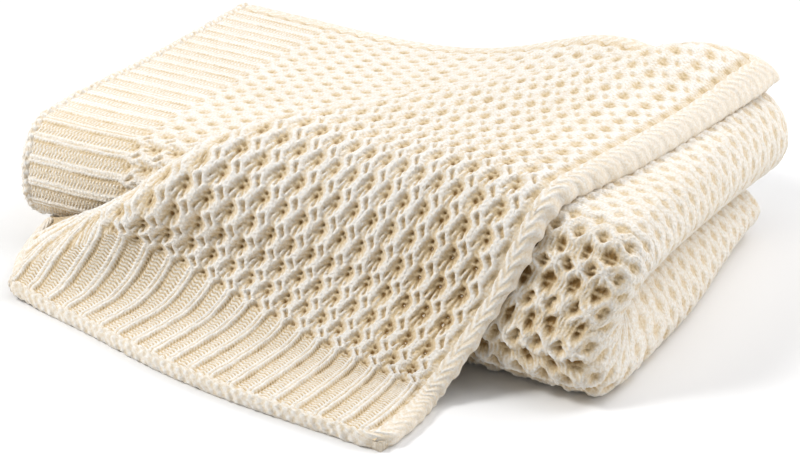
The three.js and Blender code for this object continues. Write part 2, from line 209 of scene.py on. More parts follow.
def away_from_corner(lean):
    """A unit arrow square to the diagonal fold, on cloth that leans forward by an angle."""
    along, down = CREST_START_X - CREST_END_X, CREST_END_RUN
    arrow = np.stack([-down * np.ones_like(lean), along * np.cos(lean), along * np.sin(lean)], -1)
    return arrow / math.hypot(along, down)


def crest_loop(share, part, lift):
    """A cubic Bezier curve from the corner's fold line to the layer below, its handles pointing away."""
    share, part, lift = np.broadcast_arrays(share, part, lift)
    start = corner(share * EDGE_LENGTH, SIDE_LENGTH * (1 - share), lift)
    x, y, bend = under_crest(share)
    end = np.stack(bundle(x, 0 * x, y, bend, 0 * x, lift), -1)
    handle = ((4 / 3) * (PITCH / 2 - lift) + 8)[..., None]
    _, _, lean = drape(CREST_END_RUN * share)
    first = start + handle * away_from_corner(lean)
    second = end + handle * (1 - ramp(share, (0.6, 0.9)))[..., None] * away_from_corner(bend)
    p = part[..., None]
    return (1 - p) ** 3 * start + 3 * p * (1 - p) ** 2 * first + 3 * p * p * (1 - p) * second + p ** 3 * end


def settled(points):
    """Points of the corner after the bundle has settled under it."""
    return settle(points[..., 0], points[..., 1], points[..., 2])


print("corner's edge and side in mm:", round(EDGE_LENGTH), round(SIDE_LENGTH))

# %% [markdown]
# ## The whole outer wale
# A wale is one line of stitches. On the outer layer it starts at the corner's cast-off edge, climbs the
# corner, goes over the diagonal fold and on round the closed end. Following it by its length keeps stitches
# the same size on the flat parts and on the fold.

# %% Follow a wale over the fold
FOLD_SHARES = np.linspace(0, 1, 61)
fold_lines = crest_loop(FOLD_SHARES[:, None], np.linspace(0, 1, 41)[None, :], -CLOTH / 2)
FOLD_LENGTHS = np.linalg.norm(np.diff(fold_lines, axis=1), axis=-1).sum(axis=1)


def fold_length(share):
    """Length of the diagonal fold's loop at a share of the corner's edge."""
    return np.interp(share, FOLD_SHARES, FOLD_LENGTHS)


def crest_reach(share):
    """Length of the wale from the corner's edge to the diagonal fold."""
    return SIDE_LENGTH * (1 - share)


def crest_across(share):
    """Distance across the folded width at which the diagonal fold leaves the layer below."""
    _, y, bend = under_crest(share)
    return BACK - y + bend * 3.5 * PITCH


def outer_wale(course, v, lift):
    """Corner, then fold, then bundle, by the distance v along the wale."""
    course, v, lift = np.broadcast_arrays(course, v, lift)
    share = course / EDGE_LENGTH
    over = v - crest_reach(share)
    past = over - fold_length(share)
    on_corner = settled(corner(course, v - np.maximum(over, 0), lift))
    on_fold = settled(crest_loop(share, np.clip(over / fold_length(share), 0, 1), lift))
    start = under_crest(share)[0] - LEFT
    on_bundle = bundle_point(crest_across(share), start + np.maximum(past, 0), lift)
    place = np.where((over > 0)[..., None], on_fold, on_corner)
    return np.where((past > 0)[..., None], on_bundle, place)


def fold_wale(course, part, lift):
    """The fold again, with wales that keep their slant by drifting along the diagonal as they go round."""
    share = course / EDGE_LENGTH
    drift = part * fold_length(share) * WALE_DRIFT / CREST_LENGTH
    return settled(crest_loop(share - drift * ramp(share, (0, 0.2)), part, lift))


CREST_LENGTH = math.hypot(CREST_START_X - CREST_END_X, CREST_END_RUN)
WALE_ALONG = ((CREST_START_X - CORNER_X) * (CREST_START_X - CREST_END_X) + CORNER_RUN * CREST_END_RUN) / (
    SIDE_LENGTH * CREST_LENGTH)
WALE_ACROSS = math.sqrt(1 - WALE_ALONG ** 2)
WALE_DRIFT = WALE_ALONG / WALE_ACROSS
print("length of the fold's loop in mm:", FOLD_LENGTHS.min().round(1), "to", FOLD_LENGTHS.max().round(1))

# %% [markdown]
# ## The knit as a height
# Yarn could be modelled strand by strand, but that is millions of faces. At a step away the eye reads its
# relief, so the knit is a height over the cloth, fine enough to hold each cord and each hole. In a border,
# pairs of thin cords stand over bands of wavy courses. In the body the cords are thicker, every pair opens
# into a small eye and closes again, and a cell with three pits lies between the pairs. Each place also gets
# a painted shade, a darker and warmer colour in holes, pits and grooves where shade falls.

# %% Steady roughness
def jitter(i, j):
    """A steady number from 0 to 1 for two whole numbers: the fraction of a large multiple of a sine."""
    return np.modf(np.abs(np.sin(i * 12.9898 + j * 78.233)) * 43758.5453)[0]


def rough(x, y):
    """Smooth noise from 0 to 1: steady numbers on a square lattice, eased between its corners."""
    i, j = np.floor(x), np.floor(y)
    near = lerp(jitter(i, j), jitter(i + 1, j), ramp(x - i, (0, 1)))
    far = lerp(jitter(i, j + 1), jitter(i + 1, j + 1), ramp(x - i, (0, 1)))
    return lerp(near, far, ramp(y - j, (0, 1)))


# %% Border: bands of wavy courses
COURSE = 2.9
RIB_WIDTH = 18.0


def border_floor(r, v, s, foot):
    """Height and painted shade of a band: a cosine along the wales, waved across, with painted shade in its
    low courses, and slanted dashes by a pair, sunk as grooves and painted as shadow on one side.
    """
    c = r - np.round(r)
    wander = rough(r * 2.7, v / 7) - 0.5
    wavy = np.cos(2 * np.pi * (v / COURSE + 0.22 * np.sin(2 * np.pi * c / 0.36) + 0.45 * wander))
    slant = np.cos(2 * np.pi * (v / COURSE - 3.2 * s + 0.5 * wander))
    # Dashes on one side of a pair: a groove in the height and a painted shadow in the shade
    shadow_dash = bell(s, -foot - 0.06, 0.085) * ramp(slant, (-0.5, 0.9)) * (0.3 + 1.1 * rough(r * 0.7, v / 11))
    height = -0.7 + 0.55 * wavy - 1.2 * shadow_dash
    shade = 0.03 + 0.56 * (0.5 - 0.5 * wavy) ** 2 + 0.6 * shadow_dash
    return height, shade


# %% Body: cells with three pits
CELL = 17.4
DEEPEST = -3.6
FIRST_EYE = BORDER + 7.0


def body_floor(r, turns):
    """Height and painted shade of a cell: an oval hollow with three pits and a bar, and strands that fan
    out.
    The pits get the darkest painted shade, the strands and bar the lightest.
    """
    u = (r - np.round(r)) * RIB_WIDTH
    w = (turns - np.floor(turns) - 0.5) * CELL
    lot = jitter(np.round(r), np.floor(turns))
    hole = 1 - ramp(np.hypot(u / 5.6, (w - 2.2) / 5.8), (0.5, 1.12))
    fan = np.cos(2 * np.pi * np.arctan2(u, 5 - w) / 0.45 + 3 * lot)
    fan = fan * (1 - ramp(w, (-3, 1))) * ramp(w, (-8.7, -7)) * (0.2 + 1.5 * rough(r * 5.3, turns * 4.1))
    low_pit = bell(u, 1.6 * (lot - 0.5), 1.6) * bell(w, 0.8, 1.6)
    high_pit = bell(u, 0.4, 1.5) * bell(w, 5.2, 1.3) + lot * bell(u, -3.0, 1.2) * bell(w, 3.6, 1.2)
    bar = bell(w + 0.35 * u, 3.2, 0.9) * bell(u, 0, 3.2)
    height = 0.1 - 1.6 * hole + 0.9 * fan - 2.2 * low_pit - 1.8 * high_pit + 1.2 * bar
    shade = 0.22 + 0.12 * hole - 0.2 * fan + (0.55 + 0.5 * lot) * low_pit + 0.65 * high_pit - 0.25 * bar
    return height, shade


# %% Cords over both
# Cords of a pair: distance from its middle line and half width, in ribs, and height, in mm
BORDER_GAP, BODY_GAP, EYE_GAP, EYE_LEAN = 0.095, 0.055, 0.24, 0.04
BORDER_CORD, BODY_CORD = 0.088, 0.14
BORDER_TOP, BODY_TOP = 1.4, 2.5


def fluff(r, v):
    """Uneven yarn in mm: two sizes of smooth noise."""
    across = r * RIB_WIDTH
    return 0.7 * (rough(across / 2.6, v / 2.6) - 0.5) + 0.4 * (rough(across / 1.3, v / 1.3) - 0.5)


def body_turns(r, v):
    """Cells counted along a wale of the body, a little uneven."""
    return (v - FIRST_EYE) / CELL + 0.2 * (rough(r / 2.3, v / 50) - 0.5)


def knit(r, v):
    """Height over the cloth's face in mm and painted shade, which is 0 on the cords and darkens the floors
    between them, r counted in ribs and v in mm along the wales.
    A cord is a half circle, the root of 1 - d^2, at a distance from the middle line of its pair."""
    body = ramp(v, (BORDER - 4, BORDER + 5))
    turns = body_turns(r, v)
    swing = 0.045 * np.sin(2 * np.pi * turns) * body
    s = r - np.floor(r) - 0.5 - swing + lerp(0.02, 0.08, body) * (rough(r * 0.9, v / 9) - 0.5)
    side = np.tanh(s / 0.03)
    opening = (0.5 + 0.5 * np.cos(2 * np.pi * (turns - 0.07 * side))) ** 3.0 * body
    gap = lerp(lerp(BORDER_GAP, BODY_GAP, body), EYE_GAP + EYE_LEAN * side, opening)
    width = lerp(BORDER_CORD, BODY_CORD, body)
    cord = np.sqrt(np.clip(1 - ((np.abs(s) - gap) / width) ** 2, 0, 1))
    inside = 1 - ramp(np.abs(s), (gap - 0.03, gap + 0.03))
    band, band_shade = border_floor(r, v, s, gap + width)
    cell, cell_shade = body_floor(r, turns)
    floor = lerp(lerp(band, cell, body), lerp(0.3, 1.4 - 2.2 * opening, body), inside)
    eye_shade = lerp(0.42, 0.08 + 0.3 * np.sqrt(opening), body)
    floor_shade = lerp(lerp(band_shade, cell_shade, body), eye_shade, inside)
    twist = np.cos(2 * np.pi * v / COURSE + 9 * s)
    plies = np.cos(2 * np.pi * (4 * turns + 2.6 * s))
    top = lerp(BORDER_TOP + 0.14 * twist, BODY_TOP + 0.4 * side * opening + 0.25 * plies, body)
    top = top + (rough(r * 2.4, v / 5.5) - 0.5)
    height = lerp(floor, top, cord) + lerp(0.55, 1, body) * fluff(r, v)
    return np.maximum(height, DEEPEST), np.clip(floor_shade, 0, 1) * (1 - cord)


# %% Body where it lies pressed
CELL_PLACE, CELL_HOLE, EYE_HOLE, MOST_PRESSED = 0.6, 4.8, 3.3, 0.65


def from_repeat(turns, place, repeat):
    """Distance in mm from the nearest repeat of a place along the wale."""
    away = turns - place
    return (away - np.round(away)) * repeat


def round_hole(across, along, radius):
    """1 in a round hole and 0 outside it, with a soft rim."""
    return 1 - ramp(np.hypot(across, along) / radius, (0.45, 1.15))


def press(height, shade, r, v, part):
    """A knit mixed by a part with a flat web that has a shallow round hole in each cell and each eye.
    The painted shade mixes to a nearly cream web with tan painted shade in the holes.
    """
    turns = body_turns(r, v)
    wobble = 2.2 * (rough(r * 2.9, v / 6.5) - 0.5)
    across = (r - np.round(r)) * RIB_WIDTH + wobble
    cell = round_hole(across, from_repeat(turns, CELL_PLACE, CELL), CELL_HOLE)
    eye = round_hole((r - np.floor(r) - 0.5) * RIB_WIDTH, from_repeat(turns, 0.0, CELL) + wobble, EYE_HOLE)
    depth = 0.7 + 0.5 * jitter(np.round(r), np.round(turns - CELL_PLACE))
    hole = np.maximum(cell * depth, 0.75 * eye)
    part = MOST_PRESSED * part * ramp(v, (BORDER - 4, BORDER + 12))
    web = 0.9 - 1.5 * hole + 0.7 * fluff(r, v)
    return lerp(height, web, part), lerp(shade, 0.07 + 0.38 * hole, part)


# %% [markdown]
# ## The knit's other face
# Turned over, the same knit looks different: ropes in pairs that part and meet again, with a dark pit
# between two pairs and an eye in each pair. Round the closed end the cloth is stretched, so these close up
# to shallow lenses. One function makes both, because the knit goes from one into the other within a few
# stitches.

# %% The other face
OUTER_RIB, OUTER_CELL = 20.5, 16.0
PIT_PLACE, KNOT_PLACE, EYE_PLACE = 0.58, 0.6, 0.1
PIT_WIDE, PIT_LONG, PIT_WARP = 5.2, 4.4, 4.0
LOOSE_ROPE, LENS_SHADE, KNOT_STRANDS = 2.9, 0.3, 7


def outer_knit(r, v, taut):
    """Height and painted shade of the face that shows at the closed end: two ropes to a rib, at a distance
    from its middle that opens and shuts once a cell. A loose knit has an uneven pit with a bar between two
    ribs, an eye with a strand across it in each pair, and strands that fan out, a cosine of the angle, from
    the knots where ropes meet. A taut one has plain lens-shaped holes. Painted shade is deep in pits and
    eyes, lighter in lenses and on loose ropes, and less on strands, bars and knots."""
    turns = v / OUTER_CELL + 0.25 * (rough(r / 2.1, v / 45) - 0.5)
    s = (r - np.round(r)) * OUTER_RIB + 1.8 * (rough(r * 1.4, v / 10) - 0.5)
    beat = np.cos(2 * np.pi * (turns - EYE_PLACE))
    opening = (0.5 + 0.5 * beat) ** lerp(1.7, 1.0, taut)
    gap = lerp(lerp(2.2, 3.5, taut), lerp(5.8, 6.75, taut), opening)
    width = lerp(LOOSE_ROPE, lerp(5.4, 3.9, beat * beat), taut)
    rope = np.sqrt(np.clip(1 - ((np.abs(s) - gap) / width) ** 2, 0, 1))
    inside = 1 - ramp(np.abs(s), (gap - 0.6, gap + 0.6))
    lot = jitter(np.floor(r), np.round(turns - PIT_PLACE))
    u = (r - np.floor(r) - 0.5) * OUTER_RIB
    w = from_repeat(turns, PIT_PLACE, OUTER_CELL) + 1.5 * (lot - 0.5)
    bar = bell(u + 0.5 * (lot - 0.5) * w, 0.8, 1.1)
    u = u + PIT_WARP * (rough(r * 3.1, v / 5.5) - 0.5)
    w = w + PIT_WARP * (rough(r * 3.1 + 40, v / 5.5) - 0.5)
    hole = 1 - ramp(np.hypot(u / PIT_WIDE, w / PIT_LONG), (0.5, 1.1))
    bar = bar * hole
    knot_w = from_repeat(turns, KNOT_PLACE, OUTER_CELL)
    knot = np.hypot(s, knot_w)
    star = np.cos(KNOT_STRANDS * np.arctan2(s, knot_w) + 6 * lot)
    star = star * ramp(knot, (1.0, 3.5)) * (1 - ramp(knot, (7, 11)))
    star, knob = (1 - taut) * star, (1 - taut) * bell(knot, 0, 3.4)
    fingers = np.cos(2 * np.pi * (from_repeat(turns, 0.08, OUTER_CELL) + 0.15 * u) / 3.0) * (1 - hole)
    pit = lerp(0.2 + 0.7 * fingers - 3.8 * hole + 2.4 * bar, 0.0, taut)
    pit_shade = lerp(0.26 - 0.18 * fingers + (0.8 + 0.3 * lot) * hole - 0.6 * bar, LENS_SHADE, taut)
    strand = bell(s + 0.4 * knot_w * (lot - 0.5), 1.6 * (lot - 0.5), 0.9) * opening
    floor = lerp(pit, lerp(1.0 - 4.4 * opening + 2.6 * strand, 0.0, taut), inside)
    floor_shade = lerp(pit_shade, lerp(0.1 + 0.8 * opening - 0.5 * strand, LENS_SHADE, taut), inside)
    top = lerp(2.3 - 0.5 * beat, 1.1, taut)
    plies = np.cos(2 * np.pi * (4 * turns + 0.16 * s))
    top = top + lerp(1.1, 0.7, taut) * (rough(r * 2.6, v / 5.5) - 0.5) + lerp(0.35, 0.12, taut) * plies
    height = lerp(floor, top, rope) + lerp(1.0, 0.6, taut) * fluff(r, v) + star + knob
    rope_shade = lerp(0.2, 0.05, taut) - 0.2 * star - 0.15 * knob
    return np.maximum(height, DEEPEST), np.clip(lerp(floor_shade, rope_shade, rope), 0, 1)


sample = knit(np.linspace(0, 4, 400)[:, None], np.linspace(0, 200, 400)[None, :])[0]
print("relief of the knit in mm:", sample.min().round(2), "to", sample.max().round(2))

# %% [markdown]
# ## From arrays to meshes
# A skin is a grid with one column for each place across the wales. Columns of the turned-down corner end at
# the diagonal, so each has its own length: rows past its end share its last point, and faces that shrink to
# nothing are dropped.

# %% Mesh helpers
pieces = []


def add_piece(name, points, faces, uv, shade, material):
    """A mesh object from whole arrays: points in mm, triangles, a UV of ribs and wales, and painted shade.
    """
    used, compact = np.unique(faces, return_inverse=True)
    faces = compact.reshape(-1, 3)
    co = (points.reshape(-1, 3)[used] + FRAME_SHIFT) / 1000
    co[:, 2] = np.maximum(co[:, 2], 0.0)
    mesh = bpy.data.meshes.new(name)
    mesh.vertices.add(len(co))
    mesh.vertices.foreach_set("co", co.astype(np.float32).ravel())
    mesh.loops.add(faces.size)
    mesh.loops.foreach_set("vertex_index", faces.astype(np.int32).ravel())
    mesh.polygons.add(len(faces))
    mesh.polygons.foreach_set("loop_start", np.arange(0, faces.size, 3, dtype=np.int32))
    layer = mesh.uv_layers.new(name="knit")
    layer.data.foreach_set("uv", uv.reshape(-1, 2)[used][faces.ravel()].astype(np.float32).ravel())
    shaded = mesh.attributes.new("shade", "FLOAT", "POINT")
    shaded.data.foreach_set("value", shade.ravel()[used].astype(np.float32))
    mesh.polygons.foreach_set("use_smooth", np.ones(len(faces), dtype=bool))
    mesh.update(calc_edges=True)
    mesh.validate()
    mesh.materials.append(material)
    piece = bpy.data.objects.new(name, mesh)
    bpy.context.scene.collection.objects.link(piece)
    pieces.append(piece)
    print(name, len(mesh.vertices), "points", len(mesh.polygons), "faces")
    return piece


def grid_faces(index):
    """Two triangles for each cell of a grid of point numbers, without those that have shrunk to nothing."""
    a, b, c, d = index[:-1, :-1], index[:-1, 1:], index[1:, 1:], index[1:, :-1]
    faces = np.concatenate([np.stack([a, b, c], -1).reshape(-1, 3), np.stack([a, c, d], -1).reshape(-1, 3)])
    whole = (faces[:, 0] != faces[:, 1]) & (faces[:, 1] != faces[:, 2]) & (faces[:, 2] != faces[:, 0])
    return faces[whole]


# %% [markdown]
# ## Yarn finish
# The yarn is a soft, matt, cream wool blend. Its colour is painted towards tan by a shade value: painted
# shade in holes, pits and grooves, warmed as light passed through the cloth would warm it. Two effects are
# shared by every material: V-shaped stitches with fine fibres as a bump and painted shade in their grooves,
# and a slow drift of colour. Each is a node group with named outputs.

# %% Node helpers
def node(tree, kind, **settings):
    """A node with its properties set."""
    made = tree.nodes.new(kind)
    for key, value in settings.items():
        setattr(made, key, value)
    return made


def maths(tree, operation, first, second=None):
    """A Math node fed by sockets or numbers, returning its output."""
    made = node(tree, "ShaderNodeMath", operation=operation)
    for place, value in ((0, first), (1, second)):
        if isinstance(value, (int, float)):
            made.inputs[place].default_value = value
        elif value is not None:
            tree.links.new(value, made.inputs[place])
    return made.outputs[0]


# %% Stitches and drift as node groups
def stitches_group():
    """V-shaped legs, a cosine of wales plus the distance from a column's middle, with fibres along them."""
    group = bpy.data.node_groups.new("stitches", "ShaderNodeTree")
    for output in ("Hairs", "Leg", "Groove", "Fleck"):
        group.interface.new_socket(output, in_out="OUTPUT", socket_type="NodeSocketFloat")
    out = node(group, "NodeGroupOutput")
    place = node(group, "ShaderNodeUVMap", uv_map="knit")
    split = node(group, "ShaderNodeSeparateXYZ")
    group.links.new(place.outputs[0], split.inputs[0])
    column = maths(group, "FRACT", maths(group, "MULTIPLY", split.outputs[0], 3.0))
    from_middle = maths(group, "ABSOLUTE", maths(group, "SUBTRACT", column, 0.5))
    wave = maths(group, "ADD", maths(group, "DIVIDE", split.outputs[1], COURSE), from_middle)
    leg = maths(group, "COSINE", maths(group, "MULTIPLY", wave, 2 * math.pi))
    stretch = node(group, "ShaderNodeMapping")
    stretch.inputs["Scale"].default_value = (13.0, 0.25, 1.0)
    group.links.new(place.outputs[0], stretch.inputs[0])
    fibres = node(group, "ShaderNodeTexNoise")
    fibres.inputs["Scale"].default_value = 1.0
    fibres.inputs["Detail"].default_value = 4.0
    group.links.new(stretch.outputs[0], fibres.inputs["Vector"])
    space = node(group, "ShaderNodeTexCoord")
    fleece = node(group, "ShaderNodeTexNoise")
    fleece.inputs["Scale"].default_value = 620.0
    fleece.inputs["Detail"].default_value = 3.0
    group.links.new(space.outputs["Object"], fleece.inputs["Vector"])
    hairs = maths(group, "ADD", maths(group, "MULTIPLY", fibres.outputs[0], 1.5), fleece.outputs[0])
    group.links.new(hairs, out.inputs["Hairs"])
    group.links.new(leg, out.inputs["Leg"])
    group.links.new(maths(group, "SUBTRACT", fleece.outputs[0], 0.5), out.inputs["Fleck"])
    # The groove between legs darkens the colour there: painted shade
    groove = maths(group, "MULTIPLY", maths(group, "SUBTRACT", 1.0, leg), 0.5)
    group.links.new(groove, out.inputs["Groove"])
    return group


def drift_group():
    """A slow drift over the cloth, large soft noise on Object coordinates, from 0 to 1."""
    group = bpy.data.node_groups.new("colour_drift", "ShaderNodeTree")
    group.interface.new_socket("Drift", in_out="OUTPUT", socket_type="NodeSocketFloat")
    out = node(group, "NodeGroupOutput")
    place = node(group, "ShaderNodeTexCoord")
    noise = node(group, "ShaderNodeTexNoise")
    noise.inputs["Scale"].default_value = 14.0
    noise.inputs["Detail"].default_value = 5.0
    group.links.new(place.outputs["Object"], noise.inputs["Vector"])
    group.links.new(noise.outputs[0], out.inputs["Drift"])
    return group


stitches, drift = stitches_group(), drift_group()
print("node groups:", stitches.name, drift.name)


# %% Cream wool
# Cream is the yarn's own colour; the tans are colours of painted shade in holes and grooves
CREAM, SHADE_TAN, DEEP_SHADE_TAN = (0.885, 0.86, 0.815, 1), (0.70, 0.55, 0.34, 1), (0.25, 0.14, 0.04, 1)
SHADE_TAN_AT = 0.42


def wool(name, bump_mm, fleck, leg):
    """Cream yarn painted tan as its painted shade deepens, with stitch legs and fibres as a bump."""
    material = bpy.data.materials.new(name)
    material.use_nodes = True
    tree = material.node_tree
    shader = tree.nodes["Principled BSDF"]
    shade = node(tree, "ShaderNodeAttribute", attribute_name="shade")
    legs = node(tree, "ShaderNodeGroup", node_tree=stitches)
    slow = node(tree, "ShaderNodeGroup", node_tree=drift)
    # Painted shade from the shade value and the leg grooves; flecks and drift are the yarn's own uneven
    # tone
    grooves = maths(tree, "MULTIPLY", legs.outputs["Groove"], 0.06)
    flecks = maths(tree, "ADD", maths(tree, "MULTIPLY", legs.outputs["Fleck"], fleck),
                   maths(tree, "MULTIPLY", maths(tree, "SUBTRACT", slow.outputs[0], 0.5), 0.16))
    depth = maths(tree, "ADD", maths(tree, "ADD", shade.outputs["Fac"], grooves), flecks)
    colours = node(tree, "ShaderNodeValToRGB")
    stops = colours.color_ramp.elements
    stops[0].color = CREAM
    stops[1].color = DEEP_SHADE_TAN
    stops.new(SHADE_TAN_AT).color = SHADE_TAN
    tree.links.new(depth, colours.inputs[0])
    tree.links.new(colours.outputs[0], shader.inputs["Base Color"])
    bump = node(tree, "ShaderNodeBump")
    bump.inputs["Strength"].default_value = 0.8
    bump.inputs["Distance"].default_value = bump_mm / 1000
    height = maths(tree, "ADD", legs.outputs["Hairs"], maths(tree, "MULTIPLY", legs.outputs["Leg"], leg))
    tree.links.new(height, bump.inputs["Height"])
    tree.links.new(bump.outputs[0], shader.inputs["Normal"])
    shader.inputs["Roughness"].default_value = 0.92
    shader.inputs["Sheen Weight"].default_value = 0.25
    shader.inputs["Sheen Roughness"].default_value = 0.5
    shader.inputs["Specular IOR Level"].default_value = 0.15
    return material


knit_wool = wool("knit_wool", 1.0, 0.5, 0.16)
edge_wool = wool("edge_wool", 0.8, 0.5, 0.5)
print("materials:", knit_wool.name, edge_wool.name)

# %% [markdown]
# ## Skin of the turned-down corner
# The corner shows the cloth's other side, so its relief goes up from the lower face. Its columns run from
# the cast-off edge to the diagonal and on over the fold. The ribbed border has finer rows than the body,
# because its courses are finer, and is a piece of its own.

# %% Ribs, rows and free sides
FACE = CLOTH / 2
FINE_STEP, STEP = 0.75, 1.2
BORDER_END = BORDER + 8
EDGE_IN, SKIN_IN, SINK = 2.5, SELVEDGE / 2, 2.5
RIB_START = SELVEDGE / EDGE_LENGTH
PULL_FROM, PULL_EASE, PULL = 130, 40, 0.32


def corner_rib(share, v):
    """Rib number at a share of the corner's edge; away from the selvedge the ribs slant with the pull."""
    straight = (share - RIB_START) / (LAST_CREST - RIB_START) * FLAP_RIBS + 0.2
    pulled = 0.5 * (v - PULL_FROM + np.hypot(v - PULL_FROM, PULL_EASE))
    return straight + PULL * ramp(share, (0.1, 0.6)) * pulled / CELL


def row_places(longest):
    """Distances along a wale: fine steps over the border, coarser ones over the body."""
    fine = np.linspace(EDGE_IN, BORDER_END, round((BORDER_END - EDGE_IN) / FINE_STEP) + 1)
    coarse = np.arange(BORDER_END + STEP, longest + STEP, STEP)
    return np.concatenate([fine, coarse]), len(fine)


def sunk_edge(height, from_edge):
    """Relief that dips inside the rolled edge along a free side."""
    return lerp(-SINK, height, ramp(from_edge, (EDGE_IN, 8)))


def by_selvedge(height, shade, v, near):
    """Beside a selvedge the knit is drawn in: a low crease with a slit of tan painted shade, a sharp
    cosine, in a cell.
    """
    slit = (0.5 + 0.5 * np.cos(2 * np.pi * v / CELL)) ** 3
    return lerp(height, 0.3 * height - 0.4 - 0.8 * slit, near), lerp(shade, 0.26 + 0.3 * slit, near)


print("rows of a border:", row_places(BORDER_END)[1])

# %% Grid of the turned-down corner
FLAT_COLUMNS, EXTRA_COLUMNS, FOLD_ROWS = 476, 48, 26
spacing = (LAST_CREST * EDGE_LENGTH - SKIN_IN) / (FLAT_COLUMNS - 1)
course = SKIN_IN + spacing * np.arange(FLAT_COLUMNS + EXTRA_COLUMNS)
share = course / EDGE_LENGTH
reach = crest_reach(share)
places, fine_rows = row_places(reach.max())
flat_rows = len(places)
flat_v = np.minimum(places[:, None], reach)
part_from = np.maximum(share - LAST_CREST, 0) * CREST_LENGTH / (fold_length(share) * WALE_DRIFT)
part = lerp(np.minimum(part_from, 0.98), 1, np.linspace(0, 1, FOLD_ROWS + 1)[1:, None])
v = np.concatenate([flat_v, reach + part * fold_length(share) / WALE_ACROSS])
r = corner_rib(share, v)
print("corner's grid:", v.shape, "with", fine_rows, "rows in the border")

# %% Turned-down corner
# The top of the bundle presses the knit flat, with a lighter painted shade. On a patch where the corner
# hangs in front, cells are sunk deeper and get a darker painted shade
SHADE_PATCH_COURSE, SHADE_PATCH_WIDE, SHADE_PATCH_V, SHADE_PATCH_LONG = 40, 42, 145, 50
FAR_SHARE = 0.95
height, shade = knit(r, v)
top_from = SIDE_LENGTH * (0.486 - 0.148 * share)
pressed = ramp(v, (top_from - 60, top_from + 90))
height, shade = press(height * (1 - 0.6 * pressed), shade, r, v, pressed)
# A patch of painted shade on the front of the corner, where its cells are also sunk deeper
painted_shade_patch = bell(course, SHADE_PATCH_COURSE, SHADE_PATCH_WIDE) * bell(v, SHADE_PATCH_V, SHADE_PATCH_LONG)
height = height - 0.8 * painted_shade_patch * shade
shade = np.clip(shade * (1 + 0.6 * painted_shade_patch) + 0.07 * painted_shade_patch, 0, 1)
height, shade = by_selvedge(height, shade, v, 1 - ramp(course, (SELVEDGE - 1, SELVEDGE + 3)))
lift = -FACE - sunk_edge(height, np.maximum(v, 9 * (share > FAR_SHARE)))
points = np.concatenate([settled(corner(course + 0 * flat_v, flat_v, lift[:flat_rows])),
                         fold_wale(course + 0 * part, part, lift[flat_rows:])])
last = np.searchsorted(places, reach)
columns = np.arange(len(course))
index = np.minimum(np.arange(flat_rows)[:, None], last) * len(course) + columns
fold_index = (flat_rows + np.arange(FOLD_ROWS))[:, None] * len(course) + columns
fold_index = np.concatenate([(last * len(course) + columns)[None, :], fold_index])
short = int(np.argmax(last < fine_rows))
border_faces = np.concatenate([
    grid_faces(index[:fine_rows, :FLAT_COLUMNS]),
    grid_faces(fold_index[:, short:FLAT_COLUMNS]),
    grid_faces(fold_index[1:, FLAT_COLUMNS - 1:]),
])
body_faces = np.concatenate([
    grid_faces(index[fine_rows - 1:, :FLAT_COLUMNS]),
    grid_faces(fold_index[:, :short + 1]),
])
uv = np.stack([r, v], -1)
add_piece("corner_border", points, border_faces[:, ::-1], uv, shade, knit_wool)
add_piece("corner_body", points, body_faces[:, ::-1], uv, shade, knit_wool)

# %% [markdown]
# ## Skin of the second layer
# With its corner turned down, the top layer bares the one below: the ribbed border at the open end, the
# front roll, and the honeycomb up to the diagonal. Its columns run up the roll and back over the top.

# %% Bared second layer
ROLL_FROM, TOP_FROM, TOP_TO = ACROSS[5], ACROSS[6], ACROSS[7]
UNDER_FOLD, SECOND_COLUMNS = 26.0, 452
crest_shares = np.linspace(1, 0, 200)
crest_x, crest_y, crest_bend = under_crest(crest_shares)
CREST_T = TOP_FROM + crest_y - ROLL_AXIS - crest_bend * 2.5 * PITCH


def bared_length(t):
    """How far the second layer is bared at a place across it, with a margin under the fold."""
    return np.clip(np.interp(t, CREST_T, crest_x) - LEFT + UNDER_FOLD, UNDER_FOLD, RUN_LENGTH - 6)


def second_rib(t):
    """Rib number at a place across the second layer."""
    return np.interp(t, [ROLL_FROM, TOP_FROM, TOP_TO], [0, ROLL_RIBS, ROLL_RIBS + TOP_RIBS])


t = np.linspace(ROLL_FROM, TOP_TO - SKIN_IN, SECOND_COLUMNS)
places, fine_rows = row_places(bared_length(t).max())
v = np.minimum(places[:, None], bared_length(t))
r = second_rib(t) + 0 * v
height, shade = knit(r, v)
# On the roll the painted shade is evened out; on the pressed top it is lighter
pressed = ramp(t, (TOP_FROM - 15, TOP_FROM + 30))
height, shade = height * (0.65 - 0.2 * pressed), shade ** (1 + 0.35 * pressed)
shade = lerp(0.05 + 0.75 * shade, 0.95 * shade, pressed)
height, shade = press(height, shade, r, v, pressed)
height, shade = by_selvedge(height, shade, v, ramp(t, (TOP_TO - 20, TOP_TO - 15)))
points = bundle_point(t, v, -FACE - sunk_edge(height, v))
last = np.searchsorted(places, bared_length(t))
index = np.minimum(np.arange(len(places))[:, None], last) * len(t) + np.arange(len(t))
uv = np.stack([r, v], -1)
border_faces = grid_faces(index[:fine_rows])
body_faces = grid_faces(index[fine_rows - 1:])
add_piece("second_layer_border", points, border_faces[:, ::-1], uv, shade, knit_wool)
add_piece("second_layer_body", points, body_faces[:, ::-1], uv, shade, knit_wool)

# %% [markdown]
# ## Skin of the closed end and the back hairpins
# The outer layer shows where the turned-down corner leaves it bare: on the front, round the two lobes of
# the closed end, and at the hairpins low on the back. These are plain grids with no diagonal.

# %% Closed end
END_STOP = RUN_LENGTH + END_TURN * 0.92
BARE_ROWS, LOBE_ROWS, END_COLUMNS = 70, 64, 640
BARE_T = [0, TOP_RUN, ACROSS[2], ACROSS[2] + 30, ACROSS[4]]
BARE_X = [150, 108, 62, 130, 138]


def bare_start(t):
    """Where the closed end's skin starts, a little under the turned-down corner."""
    return np.interp(t, BARE_T, BARE_X) - LEFT


